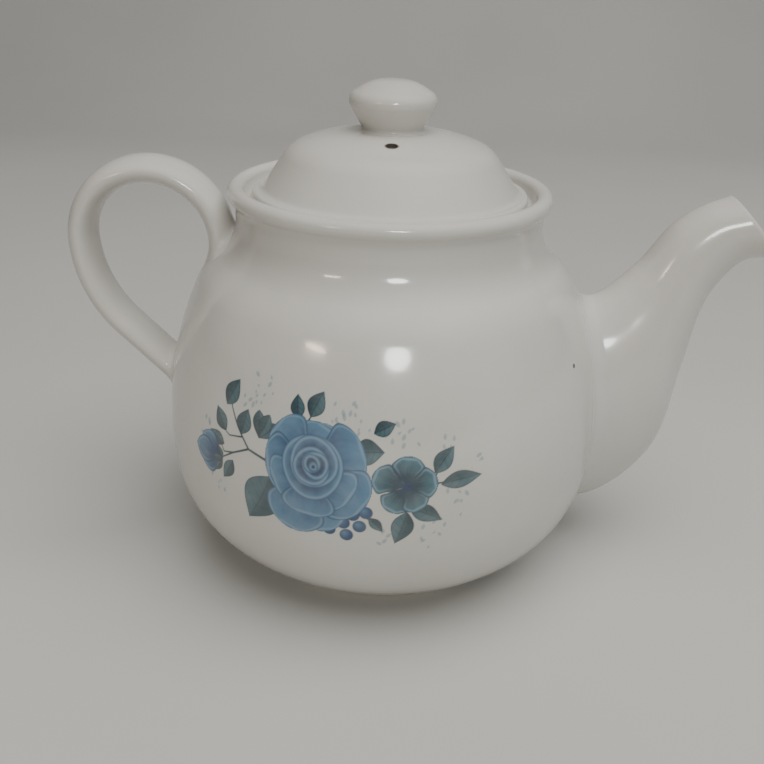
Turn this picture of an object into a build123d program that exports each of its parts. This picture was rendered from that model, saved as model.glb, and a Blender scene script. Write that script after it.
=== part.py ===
from build123d import *

import os
from math import cos, pi, radians, sin

# A glazed teapot. Millimetres, +Z up. The origin is on the pot's axis in the plane that the foot
# ring rests on. The spout points along +X and the handle along -X.

os.makedirs("parts", exist_ok=True)

# ---------------------------------------------------------------- pot wall, as radius and height
BELLY_R = 75.0  # widest radius of the outside
BELLY_Z = 50.0  # height of the widest place
WALL = 5.0  # wall thickness of the belly
LOWER_ARC_R = 186.0  # outside arc just under the widest place
LOWER_TURN = 3.0
BASE_ARC_R = 40.0  # outside arc that brings the belly in to the foot
BASE_TURN = 67.0
UPPER_ARC_R = 114.0  # outside arc above the widest place
UPPER_TURN = 25.5
SHOULDER_ARC_R = 24.0
SHOULDER_TURN = 27.5
NECK_ARC_R = 15.5  # hollow curve from the shoulder up to the neck
NECK_LENGTH = 2.7  # short upright stretch of the neck
FLARE_ARC_R = 4.4  # the neck's outside opening into the rim
FLARE_TURN = 50.0
RIM_R = 2.7  # radius of the rolled rim
SEAT_Z = 126.0  # ledge inside the rim, where the lid's flange rests
SEAT_R = 46.6  # upright side of the lid's recess
LEDGE_R = 41.0  # inner edge of the ledge
LEDGE_DEPTH = 2.6

# ---------------------------------------------------------------- strainer behind the spout
STRAINER_Z = 58.0
STRAINER_HOLE_R = 2.4
STRAINER_PITCH = 8.5

# ---------------------------------------------------------------- foot ring
FOOT_OUTER_R = 46.4
FOOT_INNER_R = 42.4
FOOT_TAPER = 1.1  # how much wider each side is where the ring meets the pot
FOOT_EDGE = 0.8  # rounding of the two resting edges

# ---------------------------------------------------------------- spout
SPOUT_WALL = 3.8
LIP_WALL = 3.0
MOUTH_OVERRUN = 3.0
QUARTER_HANDLE = 0.5523  # control arm of a cubic curve that follows a quarter of an oval
# Oval sections from the root to the mouth:
# centre x, centre z, half height, half width, tilt of the section's normal above +X in degrees.
SPOUT_SECTIONS = [
    (56.0, 54.3, 38.5, 20.0, 0.0),
    (76.0, 56.8, 38.4, 19.0, 6.0),
    (88.7, 69.1, 33.2, 16.8, 16.0),
    (94.6, 88.1, 21.0, 13.4, 27.7),
    (104.2, 111.6, 13.1, 10.5, 35.6),
    (111.4, 118.1, 11.8, 10.2, 41.7),
    (119.8, 120.3, 13.0, 11.0, 41.9),
]

# ---------------------------------------------------------------- strap handle
STRAP_HALF_WIDTH = 9.2
STRAP_HALF_THICKNESS = 4.5
LOOP_R = 23.4  # centreline radius of the handle's top loop
LOOP_X = -79.3
LOOP_Z = 110.0
LOWER_SWEEP_R = 43.0  # centreline radius of the lower outside curve
LOWER_SWEEP_TURN = 45.0
LOWER_RUN = 28.0  # straight stretch down to the belly
TAIL_R = 24.0  # the upper root leans out along the shoulder
TAIL_TURN = 24.0
TAIL_RUN = 6.0

# ---------------------------------------------------------------- lid
LID_FLANGE_R = 45.0
LID_FLANGE_H = 3.4
DOME_FOOT_R = 42.0  # where the dome rises from the flange
LID_WALL = 4.0
LID_SLOPE = 55.5  # slope of the lid's side, above level
LID_SIDE = 12.6  # length of that side
LID_SHOULDER_R = 12.0
LID_SHOULDER_TURN = 35.0
LID_CROWN_R = 60.0
LID_CROWN_TURN = 14.0
SKIRT_OUTER_R = 39.8
SKIRT_INNER_R = 36.6
SKIRT_DEPTH = 7.0
VENT_R = 1.75
VENT_OFFSET = 21.0

# ---------------------------------------------------------------- knob
KNOB_WAIST_R = 9.8
KNOB_FLARE_R = 13.6
KNOB_FLARE_H = 7.4
KNOB_EDGE_R = 3.6
KNOB_EDGE_TURN = 84.0
KNOB_H = 15.7

# ---------------------------------------------------------------- printed sprays
DECAL_T = 0.15
DECAL_HALF_LENGTH = 57.0
DECAL_HALF_HEIGHT = 27.0
DECAL_Z = 70.0
DECAL_TURN = -16.0  # the front spray sits this far round from the pot's front, towards the handle


def belly_line(inset, base_turn=BASE_TURN):
    """The belly's four arcs, drawn in from the outside. Gives the lowest and the highest."""
    widest = (BELLY_R - inset, BELLY_Z)
    lower = JernArc(widest, (0, -1), LOWER_ARC_R - inset, -LOWER_TURN)
    base = JernArc(lower @ 1, lower % 1, BASE_ARC_R - inset, -base_turn)
    upper = JernArc(widest, (0, 1), UPPER_ARC_R - inset, UPPER_TURN)
    shoulder = JernArc(upper @ 1, upper % 1, SHOULDER_ARC_R - inset, SHOULDER_TURN)
    return base, shoulder


def neck_line(shoulder, inset):
    """The hollow curve from the shoulder up to the neck."""
    return JernArc(shoulder @ 1, shoulder % 1, NECK_ARC_R + inset, -UPPER_TURN - SHOULDER_TURN)


def outside_line():
    """The whole outside, from the foot up over the rolled rim. Gives its two ends."""
    base, shoulder = belly_line(0)
    neck = neck_line(shoulder, 0)
    upright = Line(neck @ 1, neck @ 1 + Vector(0, NECK_LENGTH))
    flare = JernArc(upright @ 1, upright % 1, FLARE_ARC_R, -FLARE_TURN)
    rim = JernArc(flare @ 1, flare % 1, RIM_R, 180 + FLARE_TURN)
    return base @ 1, rim @ 1


# The pot's outer shape as one solid block. The spout and handle are fitted to it.
with BuildPart() as block:
    with BuildSketch(Plane.XZ):
        with BuildLine():
            foot_end, rim_end = outside_line()
            Polyline(foot_end, (0, foot_end.Y), (0, rim_end.Y), rim_end)
        make_face()
    revolve(axis=Axis.Z)

# The pot: outside, rim, lid ledge and inside, with the strainer pierced behind the spout.
with BuildPart() as pot_body:
    with BuildSketch(Plane.XZ):
        with BuildLine():
            foot_end, rim_end = outside_line()
            floor_arc, inner_shoulder = belly_line(WALL, 90 - LOWER_TURN)
            inner_neck = neck_line(inner_shoulder, WALL)
            Polyline(foot_end, (0, foot_end.Y), (0, (floor_arc @ 1).Y), floor_arc @ 1)
            ledge_under = (LEDGE_R, SEAT_Z - LEDGE_DEPTH)
            Polyline(inner_neck @ 1, ledge_under, (LEDGE_R, SEAT_Z), (SEAT_R, SEAT_Z), rim_end)
        make_face()
    revolve(axis=Axis.Z)
    with BuildSketch(Plane.YZ.offset(BELLY_R - 2 * WALL)):
        with Locations((0, STRAINER_Z)):
            Circle(STRAINER_HOLE_R)
            with PolarLocations(STRAINER_PITCH, 6):
                Circle(STRAINER_HOLE_R)
    extrude(amount=3 * WALL, mode=Mode.SUBTRACT)

# The foot ring that the pot stands on, bare of glaze.
with BuildPart() as foot_ring:
    with BuildSketch(Plane.XZ):
        with BuildLine():
            Polyline(
                (FOOT_INNER_R, 0),
                (FOOT_OUTER_R, 0),
                (FOOT_OUTER_R + FOOT_TAPER, foot_end.Y),
                (FOOT_INNER_R - FOOT_TAPER, foot_end.Y),
                close=True,
            )
        ring_section = make_face()
        fillet(ring_section.vertices().group_by(Axis.Y)[0], FOOT_EDGE)
    revolve(axis=Axis.Z)


def section_plane(x, z, tilt):
    """The plane of one oval section of the spout, its local x across the spout."""
    along = (cos(radians(tilt)), 0, sin(radians(tilt)))
    return Plane(origin=(x, 0, z), x_dir=(0, 1, 0), z_dir=along)


def oval_section(half_width, half_height):
    """An oval outline in four curves, which meet at its top, sides and bottom."""
    ends = [(0, half_height), (half_width, 0), (0, -half_height), (-half_width, 0)]
    for start, end in zip(ends, ends[1:] + ends[:1]):
        start_handle = (start[0] + QUARTER_HANDLE * end[0], start[1] + QUARTER_HANDLE * end[1])
        end_handle = (end[0] + QUARTER_HANDLE * start[0], end[1] + QUARTER_HANDLE * start[1])
        Bezier(start, start_handle, end_handle, end)


def oval_tube(sections):
    """A solid lofted through the spout's oval sections."""
    with BuildPart() as tube:
        for x, z, half_height, half_width, tilt in sections:
            with BuildSketch(section_plane(x, z, tilt)):
                with BuildLine():
                    oval_section(half_width, half_height)
                make_face()
        loft()
    return tube


def channel_sections():
    """The channel inside the spout, one wall in from its outside and run out past its mouth."""
    inner = [(x, z, a - SPOUT_WALL, b - SPOUT_WALL, tilt) for x, z, a, b, tilt in SPOUT_SECTIONS]
    x, z, half_height, half_width, tilt = SPOUT_SECTIONS[-1]
    past = Vector(cos(radians(tilt)), 0, sin(radians(tilt))) * MOUTH_OVERRUN
    inner[-1] = (x + past.X, z + past.Z, half_height - LIP_WALL, half_width - LIP_WALL, tilt)
    return inner


# The spout: an oval tube, fat at the root and drawn out to a lipped mouth.
spout_form = oval_tube(SPOUT_SECTIONS)
spout_channel = oval_tube(channel_sections())
with BuildPart() as spout:
    add(spout_form.part)
    add(spout_channel.part, mode=Mode.SUBTRACT)
    add(block.part, mode=Mode.SUBTRACT)

# The handle: a pulled strap that rises from the neck, loops over and runs down to the belly.
with BuildPart() as handle:
    with BuildLine(Plane.XZ) as strap_path:
        top = (LOOP_X, LOOP_Z + LOOP_R)
        outer_loop = JernArc(top, (-1, 0), LOOP_R, 90)
        lower_sweep = JernArc(outer_loop @ 1, outer_loop % 1, LOWER_SWEEP_R, LOWER_SWEEP_TURN)
        Line(lower_sweep @ 1, lower_sweep @ 1 + (lower_sweep % 1) * LOWER_RUN)
        inner_loop = JernArc(top, (1, 0), LOOP_R, -90)
        tail = JernArc(inner_loop @ 1, inner_loop % 1, TAIL_R, -TAIL_TURN)
        Line(tail @ 1, tail @ 1 + (tail % 1) * TAIL_RUN)
    strap_end = strap_path.wire() @ 0
    with BuildSketch(Plane(origin=strap_end, x_dir=(0, 1, 0), z_dir=strap_path.wire() % 0)):
        Ellipse(STRAP_HALF_WIDTH, STRAP_HALF_THICKNESS)
    sweep(path=strap_path.wire())
    add(block.part, mode=Mode.SUBTRACT)


def dome_line(inset):
    """One face of the lid's wall: side, shoulder and crown, drawn in from the outside."""
    slope = radians(LID_SLOPE)
    rising = Vector(-cos(slope), sin(slope))
    inward = Vector(-sin(slope), -cos(slope))
    side_foot = Vector(DOME_FOOT_R, SEAT_Z + LID_FLANGE_H) + inward * inset
    side_top = Vector(DOME_FOOT_R, SEAT_Z + LID_FLANGE_H) + rising * LID_SIDE + inward * inset
    if inset:
        side_foot = side_foot + rising * ((side_foot.X - SKIRT_INNER_R) / cos(slope))
    Line(side_foot, side_top)
    shoulder = JernArc(side_top, rising, LID_SHOULDER_R - inset, LID_SHOULDER_TURN)
    crown = JernArc(shoulder @ 1, shoulder % 1, LID_CROWN_R - inset, LID_CROWN_TURN)
    return side_foot, crown @ 1


# The lid: a dome with a flange that rests on the ledge and a skirt that locates it in the neck.
with BuildPart() as lid:
    with BuildSketch(Plane.XZ):
        with BuildLine():
            outer_foot, outer_crown = dome_line(0)
            inner_foot, inner_crown = dome_line(LID_WALL)
            skirt_z = SEAT_Z - SKIRT_DEPTH
            Polyline(outer_crown, (0, outer_crown.Y), (0, inner_crown.Y), inner_crown)
            Polyline(
                inner_foot,
                (SKIRT_INNER_R, skirt_z),
                (SKIRT_OUTER_R, skirt_z),
                (SKIRT_OUTER_R, SEAT_Z),
                (LID_FLANGE_R, SEAT_Z),
                (LID_FLANGE_R, SEAT_Z + LID_FLANGE_H),
                outer_foot,
            )
        make_face()
    revolve(axis=Axis.Z)
    with BuildSketch(Plane.XY.offset(SEAT_Z)):
        with Locations((0, -VENT_OFFSET)):
            Circle(VENT_R)
    extrude(amount=LID_FLANGE_R, mode=Mode.SUBTRACT)

# The knob on top of the lid: a flared stem under a round-edged button.
with BuildPart() as lid_knob:
    with BuildSketch(Plane.XZ):
        with BuildLine():
            stem_foot = Vector(KNOB_WAIST_R, outer_crown.Y)
            stem_top = stem_foot + Vector(KNOB_FLARE_R - KNOB_WAIST_R, KNOB_FLARE_H)
            stem = Line(stem_foot, stem_top)
            edge = JernArc(stem_top, stem % 1, KNOB_EDGE_R, KNOB_EDGE_TURN)
            knob_top = Vector(0, outer_crown.Y + KNOB_H)
            crown = Spline(edge @ 1, knob_top, tangents=(edge % 1, (-1, 0)))
            Polyline(knob_top, (0, outer_crown.Y), stem_foot)
        make_face()
    revolve(axis=Axis.Z)


def decal_skin(turn):
    """One printed spray's clear carrier: a thin oval patch on the belly, turned about the axis."""
    outward = Vector(0, -1, 0).rotate(Axis.Z, turn)
    along = Vector(1, 0, 0).rotate(Axis.Z, turn)
    with BuildPart() as skin:
        with BuildSketch(Plane.XZ):
            with BuildLine():
                inner_base, inner_top = belly_line(0)
                outer_base, outer_top = belly_line(-DECAL_T)
                Line(inner_base @ 1, outer_base @ 1)
                Line(inner_top @ 1, outer_top @ 1)
            make_face()
        revolve(axis=Axis.Z)
        with BuildSketch(Plane(origin=(0, 0, DECAL_Z), x_dir=along, z_dir=outward)):
            Ellipse(DECAL_HALF_LENGTH, DECAL_HALF_HEIGHT)
        extrude(amount=2 * BELLY_R, mode=Mode.INTERSECT)
    return skin


front_decal = decal_skin(DECAL_TURN)
back_decal = decal_skin(DECAL_TURN + 180)

for name, node in {
    "pot_body": pot_body,
    "foot_ring": foot_ring,
    "spout": spout,
    "handle": handle,
    "lid": lid,
    "lid_knob": lid_knob,
    "front_decal": front_decal,
    "back_decal": back_decal,
}.items():
    node.part.label = name
    export_step(node.part, f"parts/{name}.step")
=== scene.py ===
"""A white glazed teapot with a lift-off lid and a printed spray of blue roses on each side.

Every piece is a closed mesh built from whole-array numpy surfaces in the part's own frame: +Z up,
the spout along +X and the handle along -X. Sizes are written in millimetres and turned into metres
when a mesh is made.
"""

import logging
import math
from dataclasses import dataclass, field
from enum import Enum
from typing import Callable

import bpy
import numpy as np
from mathutils import Matrix


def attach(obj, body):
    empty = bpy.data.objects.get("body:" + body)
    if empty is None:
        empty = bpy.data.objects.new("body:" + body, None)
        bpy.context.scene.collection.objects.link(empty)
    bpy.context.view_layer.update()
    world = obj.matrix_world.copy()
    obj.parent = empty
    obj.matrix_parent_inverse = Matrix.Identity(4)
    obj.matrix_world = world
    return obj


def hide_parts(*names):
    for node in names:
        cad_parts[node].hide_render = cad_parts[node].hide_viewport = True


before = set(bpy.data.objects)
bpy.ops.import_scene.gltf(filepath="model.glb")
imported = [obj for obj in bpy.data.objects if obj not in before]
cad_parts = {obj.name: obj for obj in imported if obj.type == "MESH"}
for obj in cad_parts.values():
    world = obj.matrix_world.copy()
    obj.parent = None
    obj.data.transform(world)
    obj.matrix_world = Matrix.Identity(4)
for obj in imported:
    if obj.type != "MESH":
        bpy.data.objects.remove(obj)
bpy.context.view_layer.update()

MM = 0.001
COLUMNS = 288
LOG = logging.getLogger("teapot")

Colour = tuple[float, float, float]
Point = tuple[float, float]
Place = tuple[float, float, float]
Socket = bpy.types.NodeSocket


class Body(Enum):
    """The CAD body that a piece rides on."""

    POT = "pot"
    LID = "lid"


class Slot(Enum):
    """The record's material slots, by name."""

    GLAZE = "white_glaze"
    CLAY = "bare_clay"
    PRINT = "blue_print"


# ---------------------------------------------------------------- drawing profiles


@dataclass
class Pen:
    """Draws a profile as a run of points, with lines and arcs that leave each other smoothly."""

    at: Point
    heading: float
    run: list = field(default_factory=list)

    def __post_init__(self) -> None:
        """Starts the run at the pen's first place."""
        self.run.append(np.array(self.at, float))

    def line(self, length: float) -> None:
        """Draws a straight line of that length along the heading."""
        turn = math.radians(self.heading)
        self.run.append(self.run[-1] + length * np.array([math.cos(turn), math.sin(turn)]))

    def arc(self, radius: float, turn: float, step: float = 1.5) -> None:
        """Draws an arc.

        Args:
            radius: The arc's radius.
            turn: How far the heading turns in degrees, positive to the left.
            step: The most degrees between two points.
        """
        side = math.copysign(1.0, turn)
        start = math.radians(self.heading)
        centre = self.run[-1] + side * radius * np.array([-math.sin(start), math.cos(start)])
        count = max(3, math.ceil(abs(turn) / step))
        for angle in start + np.radians(turn) * np.arange(1, count + 1) / count:
            self.run.append(centre + side * radius * np.array([math.sin(angle), -math.cos(angle)]))
        self.heading += turn

    def points(self) -> np.ndarray:
        """The run as an array of one point a row."""
        return np.array(self.run)


def rounded(corners: list[Point], radii: list[float], steps: int = 7) -> np.ndarray:
    """A line through corners, each inner corner softened by a curve that touches both its sides.

    Args:
        corners: The points where the straight line would bend, both ends included.
        radii: A rounding for each corner between the ends.
        steps: Points in each curve.

    Returns:
        The softened line.
    """
    marks = [np.array(corner, float) for corner in corners]
    run = [marks[0]]
    blend = np.linspace(0, 1, steps)[:, None]
    for before, corner, after, radius in zip(marks, marks[1:], marks[2:], radii):
        back, on = before - corner, after - corner
        sides = np.linalg.norm(back), np.linalg.norm(on)
        back, on = back / sides[0], on / sides[1]
        half = 0.5 * math.acos(np.clip(back @ on, -1, 1))
        reach = min(radius / math.tan(half), 0.49 * sides[0], 0.49 * sides[1])
        start, end = corner + back * reach, corner + on * reach
        run.extend((1 - blend) ** 2 * start + 2 * blend * (1 - blend) * corner + blend**2 * end)
    run.append(marks[-1])
    return np.array(run)


def hermite(knots: np.ndarray, values: np.ndarray, at: np.ndarray) -> np.ndarray:
    """A smooth curve through values: cubics between the knots, their slopes the mean differences.

    Args:
        knots: The rising places of the values.
        values: One row of values for each knot.
        at: Where the curve is wanted, of any shape.

    Returns:
        The values there, in one last axis.
    """
    slopes = np.gradient(values, knots, axis=0)
    left = np.clip(np.searchsorted(knots, at, side="right") - 1, 0, len(knots) - 2)
    width = (knots[left + 1] - knots[left])[..., None]
    u = (at - knots[left])[..., None] / width
    rise = values[left] * (2 * u**3 - 3 * u**2 + 1) + values[left + 1] * (3 * u**2 - 2 * u**3)
    bend = slopes[left] * (u**3 - 2 * u**2 + u) + slopes[left + 1] * (u**3 - u**2)
    return rise + bend * width


# ---------------------------------------------------------------- making meshes


def grid_faces(rows: int, columns: int, wrap_rows: bool = False) -> np.ndarray:
    """Quads over a grid whose columns run round and meet, and whose rows may meet too.

    Args:
        rows: Points along the grid.
        columns: Points round the grid.
        wrap_rows: Whether the last row is joined to the first.

    Returns:
        Four point numbers a row.
    """
    index = np.arange(rows * columns).reshape(rows, columns)
    if wrap_rows:
        index = np.vstack([index, index[:1]])
    index = np.hstack([index, index[:, :1]])
    quads = index[:-1, :-1], index[:-1, 1:], index[1:, 1:], index[1:, :-1]
    return np.stack(quads, -1).reshape(-1, 4)


def fan_faces(ring: np.ndarray, hub: int) -> np.ndarray:
    """Triangles from each side of a ring of point numbers to the one point hub."""
    return np.stack([np.roll(ring, -1), ring, np.full(len(ring), hub)], -1)


def enclosed(points: np.ndarray, faces: list[np.ndarray]) -> float:
    """The signed volume inside faces: the sum of a . (b x c) / 6 over triangles a, b, c.

    Args:
        points: The mesh's points.
        faces: Arrays of quads or triangles.

    Returns:
        The volume, positive if the faces face outward.
    """
    total = 0.0
    for group in faces:
        for second in range(1, group.shape[1] - 1):
            a, b, c = points[group[:, 0]], points[group[:, second]], points[group[:, second + 1]]
            total += np.einsum("ij,ij->i", a, np.cross(b, c)).sum() / 6
    return float(total)


def solid(name: str, points: np.ndarray, faces: list[np.ndarray]) -> bpy.types.Object:
    """A smooth-shaded mesh object with its faces turned outward.

    Args:
        name: The object's name.
        points: Points in millimetres.
        faces: Arrays of quads or triangles.

    Returns:
        The object, at the origin.
    """
    turned = faces if enclosed(points, faces) > 0 else [group[:, ::-1] for group in faces]
    mesh = bpy.data.meshes.new(name)
    listed = [face for group in turned for face in group.tolist()]
    mesh.from_pydata((points * MM).tolist(), [], listed)
    mesh.polygons.foreach_set("use_smooth", np.ones(len(mesh.polygons), bool))
    mesh.update()
    obj = bpy.data.objects.new(name, mesh)
    bpy.context.scene.collection.objects.link(obj)
    return obj


def revolved(name: str, profile: np.ndarray, closed: bool = False) -> bpy.types.Object:
    """A profile turned about the upright axis.

    Point (row, column) lies at the profile's radius for that row, turned by 360 degrees times
    column / COLUMNS. An open profile starts and ends on the axis, where one point closes it.

    Args:
        name: The object's name.
        profile: Radius and height, one point a row.
        closed: Whether the profile's end meets its start away from the axis.

    Returns:
        The mesh object.
    """
    rings = profile if closed else profile[1:-1]
    angle = np.arange(COLUMNS) * (2 * np.pi / COLUMNS)
    radius, height = rings[:, :1], rings[:, 1:]
    round_points = [radius * np.cos(angle), radius * np.sin(angle), height + 0 * angle]
    points = np.stack(round_points, -1).reshape(-1, 3)
    faces = [grid_faces(len(rings), COLUMNS, closed)]
    if not closed:
        poles = np.array([[0, 0, profile[0, 1]], [0, 0, profile[-1, 1]]])
        points = np.vstack([points, poles])
        ring = np.arange(COLUMNS)
        last = (len(rings) - 1) * COLUMNS
        faces.append(fan_faces(ring, len(points) - 2))
        faces.append(fan_faces(ring + last, len(points) - 1)[:, ::-1])
    return solid(name, points, faces)


def pierce(
    obj: bpy.types.Object, holes: list[tuple[Place, str]], radius: float, length: float
) -> None:
    """Cuts round holes through a mesh for good.

    Args:
        obj: The object that is pierced.
        holes: For each hole its centre in millimetres and the axis, "X" or "Z", that it runs along.
        radius: Every hole's radius.
        length: How long the cutting rods are.
    """
    sides, crease = 40, math.radians(50)
    angle = np.arange(sides) * (2 * np.pi / sides)
    ring = np.arange(sides)
    rods, faces = [], []
    for centre, axis in holes:
        circle = np.stack([radius * np.cos(angle), radius * np.sin(angle), 0 * angle], -1)
        rod = np.vstack([circle - [0, 0, length / 2], circle + [0, 0, length / 2]])
        rod = np.vstack([rod, [[0, 0, -length / 2], [0, 0, length / 2]]])
        if axis == "X":
            rod = rod[:, [2, 0, 1]]
        first = len(rods) * (2 * sides + 2)
        faces.append(grid_faces(2, sides) + first)
        faces.append(fan_faces(ring, 2 * sides) + first)
        faces.append(fan_faces(ring + sides, 2 * sides + 1)[:, ::-1] + first)
        rods.append(rod + np.array(centre))
    cutter = solid(f"{obj.name}_cutter", np.vstack(rods), faces)
    cut = obj.modifiers.new("holes", "BOOLEAN")
    cut.operation, cut.solver, cut.object = "DIFFERENCE", "EXACT", cutter
    graph = bpy.context.evaluated_depsgraph_get()
    pierced = bpy.data.meshes.new_from_object(obj.evaluated_get(graph))
    obj.modifiers.clear()
    old, obj.data = obj.data, pierced
    pierced.name = obj.name
    pierced.set_sharp_from_angle(angle=crease)
    bpy.data.meshes.remove(old)
    bpy.data.objects.remove(cutter)


# ---------------------------------------------------------------- finishes


@dataclass
class Nodes:
    """A material's node tree, with short ways to add and join nodes."""

    name: str
    material: bpy.types.Material = field(init=False)

    def __post_init__(self) -> None:
        """Makes the material and keeps its shader."""
        self.material = bpy.data.materials.new(self.name)
        self.material.use_nodes = True
        self.tree = self.material.node_tree
        self.shader = self.tree.nodes["Principled BSDF"]

    def add(self, kind: str, **values: object) -> bpy.types.Node:
        """Adds a node.

        Args:
            kind: The node's type.
            values: Its properties or inputs, by name.

        Returns:
            The node.
        """
        node = self.tree.nodes.new(kind)
        for key, value in values.items():
            if hasattr(node, key):
                setattr(node, key, value)
            else:
                node.inputs[key].default_value = value
        return node

    def join(self, start: Socket, end: Socket) -> None:
        """Links the output start to the input end."""
        self.tree.links.new(start, end)

    def noise(self, scale: float, detail: float, rough: float = 0.5) -> Socket:
        """Adds a noise over the object's own coordinates.

        Args:
            scale: How fine it is.
            detail: How many finer layers it has.
            rough: How strong those layers are.

        Returns:
            Its value.
        """
        place = self.add("ShaderNodeTexCoord")
        noise = self.add("ShaderNodeTexNoise", Scale=scale, Detail=detail, Roughness=rough)
        self.join(place.outputs["Object"], noise.inputs["Vector"])
        return noise.outputs["Fac"]

    def spread(self, value: Socket, taken: Point, given: Point) -> Socket:
        """Maps a value from one range to another.

        Args:
            value: The value.
            taken: The range that it is read over.
            given: What the ends of that range become.

        Returns:
            The mapped value.
        """
        node = self.add("ShaderNodeMapRange")
        for name, number in zip(("From Min", "From Max", "To Min", "To Max"), (*taken, *given)):
            node.inputs[name].default_value = number
        self.join(value, node.inputs["Value"])
        return node.outputs["Result"]

    def mix(self, amount: Socket, first: Socket | Colour, second: Socket | Colour) -> Socket:
        """Mixes two colours.

        Args:
            amount: How much of the second there is, from 0 to 1.
            first: The first colour.
            second: The second colour.

        Returns:
            The mixed colour.
        """
        node = self.add("ShaderNodeMix", data_type="RGBA")
        sockets = node.inputs[0], node.inputs[6], node.inputs[7]
        for socket, given in zip(sockets, (amount, first, second)):
            if isinstance(given, Socket):
                self.join(given, socket)
            else:
                socket.default_value = (*given, 1.0)
        return node.outputs[2]

    def relief(self, heights: list[tuple[Socket, float]]) -> None:
        """Bumps the shader's surface.

        Args:
            heights: Each height value, and the depth in metres that it is worth.
        """
        last = None
        for value, depth in heights:
            bump = self.add("ShaderNodeBump", Distance=depth)
            self.join(value, bump.inputs["Height"])
            if last:
                self.join(last.outputs["Normal"], bump.inputs["Normal"])
            last = bump
        self.join(last.outputs["Normal"], self.shader.inputs["Normal"])


@dataclass(frozen=True)
class Spot:
    """A small round mark in the glaze, such as a speck or a painted shade: where it lies in metres,
    its radius, and its colour.
    """

    centre: Place
    radius: float
    colour: Colour
    softness: float = 0.15
    strength: float = 0.95

    def lay(self, nodes: Nodes, colour: Socket) -> Socket:
        """Lays the spot over a colour.

        Args:
            nodes: The material's nodes.
            colour: The colour under it.

        Returns:
            The colour with the spot in it.
        """
        place = nodes.add("ShaderNodeTexCoord")
        gap = nodes.add("ShaderNodeVectorMath", operation="DISTANCE")
        nodes.join(place.outputs["Object"], gap.inputs[0])
        gap.inputs[1].default_value = self.centre
        edge = (1 - self.softness) * self.radius, (1 + self.softness) * self.radius
        dot = nodes.spread(gap.outputs["Value"], edge, (self.strength, 0.0))
        return nodes.mix(dot, colour, self.colour)


@dataclass(frozen=True)
class Glaze:
    """A fired white glaze: faint cloudiness, a soft waviness and a clear coat of gloss."""

    name: str
    light: Colour = (0.62, 0.605, 0.565)
    shade: Colour = (0.575, 0.555, 0.51)
    pinhole: Colour = (0.42, 0.39, 0.35)
    cloud_scale: float = 22.0
    pinhole_scale: float = 900.0
    wash_scale: float = 160.0
    gloss_scale: float = 45.0
    wave_scale: float = 26.0
    grain_scale: float = 1100.0
    roughness: Point = (0.11, 0.19)
    refraction: float = 1.52
    coat: float = 0.35
    coat_roughness: float = 0.06
    bleed: float = 0.06
    bleed_reach: float = 0.002
    wave_depth: float = 0.00010
    grain_depth: float = 0.0000035
    spot: Spot | None = None
    inked: bool = False

    def build(self) -> bpy.types.Material:
        """Makes the material.

        Returns:
            The material.
        """
        nodes = Nodes(self.name)
        cloud = nodes.spread(nodes.noise(self.cloud_scale, 4.0), (0.35, 0.7), (0.0, 1.0))
        colour = nodes.mix(cloud, self.light, self.shade)
        pin = nodes.spread(nodes.noise(self.pinhole_scale, 1.0), (0.74, 0.80), (0.0, 0.25))
        colour = nodes.mix(pin, colour, self.pinhole)
        if self.spot:
            colour = self.spot.lay(nodes, colour)
        if self.inked:
            colour = self.ink(nodes, colour)
        nodes.join(colour, nodes.shader.inputs["Base Color"])
        gloss = nodes.spread(nodes.noise(self.gloss_scale, 5.0, 0.6), (0.3, 0.7), self.roughness)
        nodes.join(gloss, nodes.shader.inputs["Roughness"])
        for name, value in (
            ("IOR", self.refraction),
            ("Coat Weight", self.coat),
            ("Coat Roughness", self.coat_roughness),
            ("Subsurface Weight", self.bleed),
            ("Subsurface Scale", self.bleed_reach),
        ):
            nodes.shader.inputs[name].default_value = value
        wave, grain = nodes.noise(self.wave_scale, 2.0), nodes.noise(self.grain_scale, 2.0)
        nodes.relief([(wave, self.wave_depth), (grain, self.grain_depth)])
        return nodes.material

    def ink(self, nodes: Nodes, colour: Socket) -> Socket:
        """Lays the colour attribute "ink" over the glaze, by its alpha and an uneven wash.

        Args:
            nodes: The material's nodes.
            colour: The glaze's colour.

        Returns:
            The printed colour.
        """
        ink = nodes.add("ShaderNodeAttribute", attribute_name="ink")
        wash = nodes.spread(nodes.noise(self.wash_scale, 3.0), (0.3, 0.75), (0.97, 0.86))
        strength = nodes.add("ShaderNodeMath", operation="MULTIPLY")
        nodes.join(ink.outputs["Alpha"], strength.inputs[0])
        nodes.join(wash, strength.inputs[1])
        return nodes.mix(strength.outputs[0], colour, ink.outputs["Color"])


@dataclass(frozen=True)
class BareClay:
    """Unglazed fired clay: matt, warm and sandy, a little soiled."""

    name: str
    light: Colour = (0.66, 0.60, 0.51)
    dark: Colour = (0.42, 0.36, 0.29)
    roughness: float = 0.85
    sand_depth: float = 0.00012

    def build(self) -> bpy.types.Material:
        """Makes the material.

        Returns:
            The material.
        """
        nodes = Nodes(self.name)
        soil = nodes.spread(nodes.noise(90.0, 6.0, 0.65), (0.45, 0.8), (0.0, 0.8))
        colour = nodes.mix(soil, self.light, self.dark)
        sand = nodes.spread(nodes.noise(2600.0, 2.0), (0.62, 0.72), (0.0, 0.6))
        nodes.join(nodes.mix(sand, colour, self.dark), nodes.shader.inputs["Base Color"])
        nodes.shader.inputs["Roughness"].default_value = self.roughness
        nodes.relief([(nodes.noise(1800.0, 4.0), self.sand_depth)])
        return nodes.material


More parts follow.
